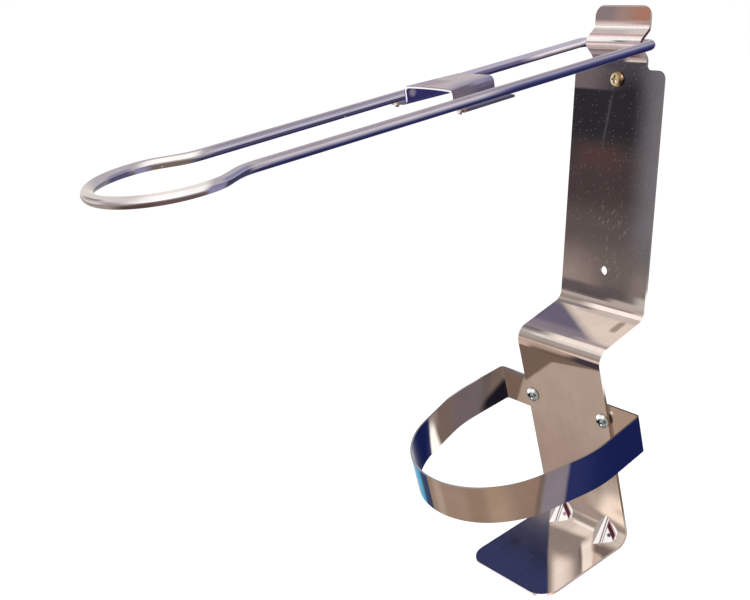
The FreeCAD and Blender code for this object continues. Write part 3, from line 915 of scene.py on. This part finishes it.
def wire_tints() -> Tints:
    """Painted reflections on the lever wire: lavender grey over navy, with white painted glare in
    the loop.

    Returns:
        The patches, lowest first.
    """
    mauve_right = (*LEVER.band(257.0, 265.0, 3.0), FACES_RIGHT.to(0.1, 0.3))
    grey_left = (*LEVER.band(279.0, 293.0, 4.0), ACROSS.to(4.0, -4.0))
    brown_right = (*LEVER.band(267.0, 287.0, 8.0), ACROSS.to(0.0, 8.0))
    brown_front = (*LEVER.band(285.0, 295.0, 5.0), ACROSS.to(2.0, 9.0))
    loop_right = (LOOP_LEAN.to(263.0, 269.0), LOOP_LEAN.to(298.0, 288.0), ACROSS.to(0.0, 8.0))
    loop_left = (LOOP_LEAN.to(238.0, 244.0), LOOP_LEAN.to(268.0, 260.0), ACROSS.to(2.0, -2.0))
    navy_right = (*LEVER.band(240.0, 257.0, 5.0), ACROSS.to(-2.0, 2.0))
    navy_left = (*LEVER.band(267.0, 279.0, 5.0), ACROSS.to(4.0, -4.0))
    loop_front = (LEVER.to(284.0, 292.0), *ACROSS.band(-4.0, 10.0, 7.0))
    pale_pivot = (LEFT_ARM, LEVER.to(52.0, 34.0))
    bands = (
        ("#25254e", -0.5, -0.3),
        ("#31345f", -0.3, -0.12),
        ("#484a72", -0.1, 0.1),
        ("#6e6d8f", 0.12, 0.32),
        ("#a5a0b6", 0.36, 0.5),
        ("#908898", 0.56, 0.7),
        ("#aea3ab", 0.78, 0.92),
    )
    # Painted reflections by facing: pale lavender on top, navy beneath
    laid = [tint(colour, FACES_UP.to(low, high)) for colour, low, high in bands]
    laid += [
        *tints_in(
            (BEFORE_SADDLE, RIGHT_ARM),
            ("#a39fb0", *FACES_UP.band(-0.04, 0.2, 0.12)),
            ("#c9bfc6", *FACES_UP.band(0.2, 0.54, 0.12)),
            ("#a1959f", *FACES_UP.band(0.6, 0.8, 0.1)),
            ("#62627e", *FACES_UP.band(-0.22, -0.08, 0.1)),
        ),
        *tints_in(
            (BEFORE_SADDLE, LEFT_ARM),
            ("#a9a4b6", *FACES_UP.band(-0.04, 0.16, 0.1)),
            ("#c9c2cc", *FACES_UP.band(0.16, 0.36, 0.1)),
            ("#8b8390", *FACES_UP.band(0.6, 0.8, 0.1)),
            ("#433d56", *FACES_UP.band(-0.5, -0.12, 0.1)),
        ),
        *tints_in(
            (BEHIND_SADDLE, LEFT_ARM),
            ("#5a5270", *FACES_UP.band(-0.3, -0.02, 0.1)),
            ("#73697f", *FACES_UP.band(-0.02, 0.16, 0.1)),
            ("#b5aebf", FACES_UP.to(0.3, 0.45)),
        ),
        tint("#7c7072", *pale_pivot, *FACES_UP.band(-0.5, -0.26, 0.1)),
        tint("#b5aaab", *pale_pivot, *FACES_UP.band(-0.26, -0.05, 0.1)),
        tint("#e9dce1", *pale_pivot, *FACES_UP.band(-0.05, 0.36, 0.1)),
        tint("#9d9497", LEVER.to(228.0, 240.0), *FACES_UP.band(-0.2, 0.2, 0.2)),
        tint("#b4abb0", LEVER.to(228.0, 240.0), FACES_UP.to(0.1, 0.5)),
        tint("#6f605b", LEVER.to(236.0, 250.0), FACES_UP.to(-0.2, -0.35), strength=0.8),
        tint("#393b58", *navy_right, FACES_UP.to(0.36, 0.16)),
        tint("#8384a7", *navy_right, *FACES_UP.band(0.36, 0.76, 0.12)),
        tint("#7e7a98", *mauve_right, FACES_UP.to(0.4, 0.2)),
        tint("#4a4a62", *navy_left, FACES_UP.to(0.2, 0.0)),
        tint("#8c87a0", *navy_left, *FACES_UP.band(0.1, 0.5, 0.16)),
        tint("#74727a", *grey_left, FACES_UP.to(0.3, 0.1)),
        tint("#e9e0dc", *loop_right, FACES_UP.to(0.6, 0.8)),
        tint("#fffaf7", *loop_right, *FACES_UP.band(-0.05, 0.7, 0.15)),
        tint("#fffaf7", *loop_left, *FACES_UP.band(0.1, 0.8, 0.15)),
        tint("#5a4642", *brown_right, FACES_UP.to(-0.2, -0.4)),
        tint("#65574f", *LEVER.band(243.0, 259.0, 6.0), LEFT_ARM, FACES_UP.to(0.0, -0.2)),
        tint("#d9cfca", LEVER.to(284.0, 296.0), FACES_UP.to(0.1, 0.5)),
        tint("#8f827d", LEVER.to(286.0, 296.0), FACES_UP.to(0.1, -0.2)),
        tint("#4d3b37", *brown_front, FACES_UP.to(-0.25, -0.45)),
        tint("#82736f", *loop_front, *FACES_UP.band(0.3, 0.56, 0.12), strength=0.85),
        tint("#d9d0cd", *loop_front, *FACES_UP.band(-0.12, 0.14, 0.1), strength=0.8),
    ]
    return tuple(laid)


# Polished stainless wire, 5 mm: drawn through a die, so its fine lines run along the wire.
WIRE_FINISH = MetalFinish(
    name="drawn_polished_stainless_wire",
    # Navy ground of painted reflection
    colour="#27264c",
    roughness=0.14,
    tints=wire_tints(),
    grain=(0.6, 60.0, 6.0),
    grain_depth=0.03,
    marks=(Marks("#e8e2e4", (3.0, 9.0, 3.0), 0.08, 0.25, 0.5),),
    wander=0.2,
)


SADDLE_SPOT = away_from(-15.7, -127.0, -5.6)


def saddle_tints() -> Tints:
    """Painted reflections on the saddle: taupe on top, purple on its side, navy inside; brown heat
    tint at the welds.

    Returns:
        The patches, lowest first.
    """
    top = (FACES_UP.to(0.7, 0.9), ABOVE_LEVER.to(3.0, 4.0))
    side = (FACES_RIGHT.to(0.4, 0.7), ACROSS.to(0.0, 4.0))
    tints = [
        tint("#b4a8ac", *top),
        tint("#988ea2", *top, ACROSS.to(5.0, 11.0)),
        tint("#998b94", *top, *LEVER.band(115.0, 127.0, 5.0), *ACROSS.band(-17.0, 0.0, 8.0)),
        tint("#b6a2ab", *top, LEVER.to(120.0, 125.0), *ACROSS.band(-2.0, 12.0, 5.0)),
        tint("#908aa6", *FACES_UP.band(0.45, 0.85, 0.1), ACROSS.to(4.0, 8.0)),
        tint("#6a616d", *side, LEVER.to(110.0, 120.0)),
        tint("#7a7694", *side, ABOVE_LEVER.to(3.0, 4.2), LEVER.to(112.0, 98.0)),
        tint("#544d65", *side, ABOVE_LEVER.to(2.6, 1.4), LEVER.to(120.0, 108.0)),
        tint("#2f2d5b", ACROSS.to(-8.0, -11.0), FACES_RIGHT.to(0.5, 0.8), ABOVE_LEVER.to(4.4, 3.4)),
        # Painted highlight along the front edge
        *tints_in(
            (FACES_ROOM.to(0.8, 0.92), LEVER.to(122.0, 126.0)),
            ("#f6f1f2",),
            ("#5d5a80", ACROSS.to(-16.6, -17.0)),
            ("#8d8490", ABOVE_LEVER.to(4.9, 5.3)),
        ),
        tint("#857986", SADDLE_SPOT.to(2.6, 0.8), FACES_RIGHT.to(0.5, 0.8), strength=0.8),
        # Painted shade on the lip below the wire
        tint("#4b465c", ABOVE_LEVER.to(-1.6, -2.2), FACES_UP.to(0.7, 0.9)),
        tint("#444055", ABOVE_LEVER.to(-1.4, -2.0), ACROSS.to(18.0, 22.0)),
        tint("#33304e", ABOVE_LEVER.to(-1.6, -2.2), FACES_UP.to(-0.5, -0.8)),
    ]
    for x in (-23.0, 23.0):
        weld = away_from(x, -131.6, -11.9)
        tints.append(tint("#8a6a4c", weld.to(4.6, 2.4), strength=0.85))
        tints.append(tint("#4a342a", weld.to(2.4, 1.4), strength=0.7))
    return tuple(tints)


# Bright stainless sheet of the saddle, sheared and folded, with heat tint at its welds.
SADDLE_FINISH = MetalFinish(
    name="bright_stainless_saddle_sheet",
    # Purple grey ground of painted reflection
    colour="#665f72",
    roughness=0.2,
    tints=saddle_tints(),
    grain=(1.2, 30.0, 30.0),
    grain_depth=0.03,
    smudge=0.08,
    smudge_size=7.0,
    marks=(Marks("#cfc8cc", (2.4, 4.0, 2.4), 0.1, 0.3, 0.5),),
    wander=0.4,
)

# Weld bead: rough as cast, browned by the heat, with painted shade on its underside and a painted
# highlight where it faces the room.
WELD_FINISH = MetalFinish(
    name="heat_tinted_weld_bead",
    colour="#8d7a70",
    roughness=0.4,
    tints=(tint("#4b3830", FACES_UP.to(0.0, -0.7)), tint("#d8d0cc", FACES_ROOM.to(0.4, 0.9))),
    grain=(0.6, 0.6, 0.6),
    grain_depth=0.22,
    bump=0.12,
    wander=0.2,
)


# ---- the fasteners' finishes


def zinc_finish(name: str, colour: str, tints: Tints) -> MetalFinish:
    """Satin zinc plating on a cold headed screw, slightly mottled by its passivation bath.

    Args:
        name: the material's name.
        colour: sRGB hex value of the plating in the shade.
        tints: the tones over it.

    Returns:
        The finish.
    """
    return MetalFinish(
        name=name,
        colour=colour,
        roughness=0.3,
        tints=tints,
        grain=(0.8, 0.8, 0.8),
        grain_depth=0.1,
        smudge=0.08,
        smudge_size=2.0,
        bump=0.02,
        wander=0.1,
    )


# Share of a spot on a screw head that has its full colour
SPOT_CORE = 0.55


def ring_screw_tints() -> Tints:
    """Painted light on the ring screws: a lighter top and painted shade beneath, white glints, and
    dark spots of painted shade at the driver cross and the dome's sides.

    Returns:
        The patches, lowest first.
    """
    tints = [tint("#a3a8a5", FACES_UP.to(-0.1, 0.5)), tint("#5f6462", FACES_UP.to(-0.2, -0.7))]
    for x in (-26.0, 26.0):
        # Painted glints and spots of painted shade on each head
        for aside, down, size, colour in (
            (-1.2, -1.2, 2.0, "#ffffff"),
            (1.6, -2.2, 1.7, "#fdf8f6"),
            (0.6, 2.6, 1.5, "#f1ebe8"),
            (3.4, 0.6, 1.6, "#55524d"),
            (-2.2, 1.6, 1.5, "#6c6e6a"),
            (-0.4, 0.9, 1.2, "#34322f"),
        ):
            spot = away_from(x + aside, -26.0, -176.6 - down)
            tints.append(tint(colour, spot.to(size, size * SPOT_CORE)))
    return tuple(tints)


def wall_screw_tints() -> Tints:
    """Painted light on the wall screw: a pale gold face with a painted highlight at its left rim
    and a glint, painted shade in the cross recess, and a shaded side with a painted highlight.

    Returns:
        The patches, lowest first.
    """
    face = away_from(-0.7, -4.3, 0.0)
    return (
        tint("#2e231c", FACES_RIGHT.to(0.2, 0.6), FACES_UP.to(0.15, -0.2)),
        tint("#f0bcb0", FACES_RIGHT.to(0.5, 0.75), *FACES_UP.band(0.25, 0.6, 0.2)),
        tint("#bda785", face.to(3.6, 3.0)),
        tint("#dccbaa", face.to(3.4, 2.8), ACROSS.to(-0.4, -2.4)),
        tint("#9a7838", face.to(2.8, 2.2), FACES_ROOM.to(0.8, 0.5)),
        tint("#fff6e2", away_from(0.7, -4.0, -0.9).to(0.9, 0.5)),
    )


# Bright zinc of the ring's screws, washers and nuts, with a cold greenish white.
BRIGHT_ZINC = zinc_finish("bright_zinc_plating", "#8b8f8c", ring_screw_tints())

# Yellow passivated zinc of the wall screw, pale gold.
YELLOW_ZINC = zinc_finish("yellow_passivated_zinc", "#8a7448", wall_screw_tints())


@dataclass
class WallScrew:
    """The wall screw: the frame's head on a shank with a real thread, in millimetres."""

    node: Object
    shank_radius: float = 2.0
    core_radius: float = 1.45
    thread_height: float = 0.65
    pitch: float = 1.8
    turns: int = 12
    steps: int = 24
    neck: tuple[float, float] = (1.2, 2.2)
    thread_start: float = 3.0
    neck_margin: float = 0.1

    def build(self) -> Object:
        """Builds the threaded screw that stands for the plain one.

        Returns:
            The finished screw, undressed.
        """
        screw = self.copy_plain_screw()
        self.turn_core(screw)
        thread = self.wind_thread()
        bpy.ops.object.select_all(action="DESELECT")
        thread.select_set(True)
        screw.select_set(True)
        bpy.context.view_layer.objects.active = screw
        bpy.ops.object.join()
        bpy.ops.object.shade_smooth_by_angle(angle=SMOOTH_ANGLE)
        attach(screw, "wall_bracket")
        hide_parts("wall_screw")
        return screw

    def copy_plain_screw(self) -> Object:
        """Copy of the frame's screw, with its loose triangles merged.

        Returns:
            The copy, cut round its neck, with nothing selected.
        """
        bpy.ops.object.select_all(action="DESELECT")
        screw = bpy.data.objects.new("threaded_wall_screw", self.node.data.copy())
        bpy.context.scene.collection.objects.link(screw)
        screw.data.materials.clear()
        screw.select_set(True)
        bpy.context.view_layer.objects.active = screw
        bpy.ops.mesh.customdata_custom_splitnormals_clear()
        bpy.ops.object.mode_set(mode="EDIT")
        bpy.ops.mesh.select_all(action="SELECT")
        bpy.ops.mesh.remove_doubles(threshold=MERGE_GAP)
        for depth in self.neck:
            bpy.ops.mesh.select_all(action="SELECT")
            bpy.ops.mesh.bisect(plane_co=(0.0, depth * MM, 0.0), plane_no=(0.0, 1.0, 0.0))
        bpy.ops.mesh.select_all(action="DESELECT")
        bpy.ops.object.mode_set(mode="OBJECT")
        return screw

    def turn_core(self, screw: Object) -> None:
        """Thins the shank behind its neck down to the thread's core.

        Args:
            screw: the copied screw.
        """
        for vertex in screw.data.vertices:
            vertex.select = vertex.co.y > (self.neck[1] - self.neck_margin) * MM
        share = self.core_radius / self.shank_radius
        bpy.ops.object.mode_set(mode="EDIT")
        bpy.context.scene.tool_settings.mesh_select_mode = (True, False, False)
        bpy.ops.transform.resize(value=(share, 1.0, share), center_override=(0.0, 0.0, 0.0))
        bpy.ops.object.mode_set(mode="OBJECT")

    def wind_thread(self) -> Object:
        """Winds the thread's ridge round the core.

        Returns:
            The ridge, closed at both ends.
        """
        # A triangle is one and a half times as high as the radius of the circle round it
        corner = self.thread_height / 1.5
        place = ((self.shank_radius - corner) * MM, self.thread_start * MM, 0.0)
        bpy.ops.object.select_all(action="DESELECT")
        bpy.ops.mesh.primitive_circle_add(
            vertices=3, radius=corner * MM, location=place, rotation=(0.0, 0.0, -math.pi / 2)
        )
        thread = bpy.context.object
        thread.name = "wall_screw_thread"
        bpy.ops.object.transform_apply(location=True, rotation=True, scale=True)
        wind = thread.modifiers.new("wind", "SCREW")
        wind.axis = "Y"
        wind.angle = 2 * math.pi
        wind.screw_offset = self.pitch * MM
        wind.iterations = self.turns
        wind.steps = wind.render_steps = self.steps
        bpy.ops.object.modifier_apply(modifier="wind")
        bpy.ops.object.mode_set(mode="EDIT")
        bpy.ops.mesh.select_all(action="SELECT")
        bpy.ops.mesh.remove_doubles(threshold=MERGE_GAP)
        bpy.ops.mesh.fill_holes(sides=4)
        bpy.ops.mesh.normals_make_consistent(inside=False)
        bpy.ops.object.mode_set(mode="OBJECT")
        return thread


@dataclass
class WallBracket:
    """The bent strip, its wall screw, and the strap ring with its fasteners."""

    nodes: dict[str, Object]

    def build(self) -> None:
        """Dresses every piece that stays on the wall."""
        zinc = BRIGHT_ZINC.material()
        dress(self.nodes["bracket"], BRACKET_FINISH.material(), mirrored=False)
        dress(self.nodes["bottle_ring"], STRAP_FINISH.material(), mirrored=False)
        screw = WallScrew(self.nodes["wall_screw"]).build()
        screw.data.materials.append(YELLOW_ZINC.material())
        LOG.info("threaded the wall screw: %d faces", len(screw.data.polygons))
        for side in ("left", "right"):
            for kind in ("screw", "washer", "nut"):
                dress(self.nodes[f"ring_{kind}_{side}"], zinc)
        LOG.info("dressed the bracket, the ring and their screws")


@dataclass
class ElbowLever:
    """The lever's wire, its saddle and the weld beads."""

    nodes: dict[str, Object]

    def build(self) -> None:
        """Dresses every piece that turns with the lever."""
        dress(self.nodes["lever_wire"], WIRE_FINISH.material(), mirrored=False)
        dress(self.nodes["pump_saddle"], SADDLE_FINISH.material(), mirrored=False)
        weld = WELD_FINISH.material()
        for side in ("left", "right"):
            dress(self.nodes[f"saddle_weld_{side}"], weld)
        LOG.info("dressed the lever")


@dataclass(frozen=True)
class Lamp:
    """One soft square lamp that looks at the object."""

    name: str
    place: Triple
    size: float
    power: float


@dataclass
class Studio:
    """Pale floor, white background, soft lamps and the photograph's camera."""

    floor_drop: float = 1.0
    floor_size: float = 80.0
    floor_glow: float = 0.45
    world_light: float = 0.7
    world_seen: float = 1.0
    camera_place: Triple = (0.395307, -0.459938, 0.024918)
    azimuth: float = 52.6606
    elevation: float = 13.9813
    roll: float = 1.3354
    focal_pixels: float = 1105.53
    image_width: int = 750
    sensor: float = 36.0
    target: Triple = (0.0, -0.12, -0.08)
    lamps: tuple[Lamp, ...] = (
        Lamp("key_lamp", (0.5, -1.1, 1.3), 0.9, 9.0),
        Lamp("fill_lamp", (1.6, 0.2, 0.5), 1.2, 6.0),
        Lamp("back_lamp", (-1.2, 0.9, 1.2), 1.0, 5.0),
    )

    def build(self) -> None:
        """Builds the whole studio."""
        scene = bpy.context.scene
        scene.view_settings.view_transform = "Standard"
        self.lay_floor()
        self.light_world(scene)
        for lamp in self.lamps:
            self.hang(lamp)
        self.set_camera(scene)

    def seen(self, tree: Tree) -> Socket:
        """1 for the rays that show the background: seen, reflected or passed through.

        Args:
            tree: the tree to build in.

        Returns:
            The socket that holds 1 or 0.
        """
        light_path = add_node(tree, "LightPath").outputs
        total = light_path["Is Camera Ray"]
        for name in ("Is Glossy Ray", "Is Transmission Ray"):
            inputs = {0: total, 1: light_path[name]}
            total = add_node(tree, "Math", inputs, operation="MAXIMUM").outputs[0]
        return total

    def where_seen(self, tree: Tree, unseen: Socket, seen: Socket) -> Socket:
        """Shader that changes where the background is seen."""
        inputs = {0: self.seen(tree), 1: unseen, 2: seen}
        return add_node(tree, "MixShader", inputs).outputs[0]

    def lay_floor(self) -> None:
        """Pale floor far below the object, which keeps the object's soft shadow."""
        bpy.ops.object.select_all(action="DESELECT")
        place = (0.0, 0.0, -self.floor_drop)
        bpy.ops.mesh.primitive_plane_add(size=self.floor_size, location=place)
        floor = bpy.context.object
        floor.name = "floor"
        made = bpy.data.materials.new("pale_floor")
        made.use_nodes = True
        tree = made.node_tree
        tree.nodes.clear()
        matt = add_node(tree, "BsdfDiffuse", {"Color": linear("#f2f2f2")}).outputs[0]
        inputs = {"Color": WHITE, "Strength": self.floor_glow}
        glow = add_node(tree, "Emission", inputs).outputs[0]
        both = add_node(tree, "AddShader", {0: matt, 1: glow}).outputs[0]
        shown = self.where_seen(tree, matt, both)
        add_node(tree, "OutputMaterial", {"Surface": shown})
        floor.data.materials.append(made)

    def light_world(self, scene: bpy.types.Scene) -> None:
        """White world, softer where it lights than where it is seen.

        Args:
            scene: the scene to light.
        """
        world = bpy.data.worlds.new("white_studio")
        scene.world = world
        world.use_nodes = True
        tree = world.node_tree
        tree.nodes.clear()
        soft, full = (
            add_node(tree, "Background", {"Color": WHITE, "Strength": power}).outputs[0]
            for power in (self.world_light, self.world_seen)
        )
        shown = self.where_seen(tree, soft, full)
        add_node(tree, "OutputWorld", {"Surface": shown})

    def hang(self, lamp: Lamp) -> None:
        """Hangs one lamp and points it at the object.

        Args:
            lamp: the lamp.
        """
        data = bpy.data.lights.new(lamp.name, "AREA")
        data.size = lamp.size
        data.energy = lamp.power
        hung = bpy.data.objects.new(lamp.name, data)
        bpy.context.scene.collection.objects.link(hung)
        way = Vector(self.target) - Vector(lamp.place)
        hung.visible_glossy = False
        turn = way.to_track_quat("-Z", "Y").to_matrix().to_4x4()
        hung.matrix_world = Matrix.Translation(lamp.place) @ turn

    def set_camera(self, scene: bpy.types.Scene) -> None:
        """Sets the camera at the place and angle that the photograph was taken from.

        Args:
            scene: the scene that it shows.
        """
        data = bpy.data.cameras.new("camera")
        data.sensor_width = self.sensor
        data.lens = self.focal_pixels / self.image_width * self.sensor
        data.clip_start = NEAR_CLIP
        camera = bpy.data.objects.new("camera", data)
        scene.collection.objects.link(camera)
        turn = Matrix.Rotation(math.radians(self.azimuth), 4, "Z")
        tilt = Matrix.Rotation(math.radians(90.0 - self.elevation), 4, "X")
        roll = Matrix.Rotation(math.radians(self.roll), 4, "Z")
        camera.matrix_world = Matrix.Translation(self.camera_place) @ turn @ tilt @ roll
        scene.camera = camera


def main() -> None:
    """Builds the looks of the whole object and its studio."""
    logging.basicConfig(level=logging.INFO)
    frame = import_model()
    nodes = frame["nodes"]
    WallBracket(nodes).build()
    ElbowLever(nodes).build()
    Studio().build()


if __name__ == "__main__":
    main()
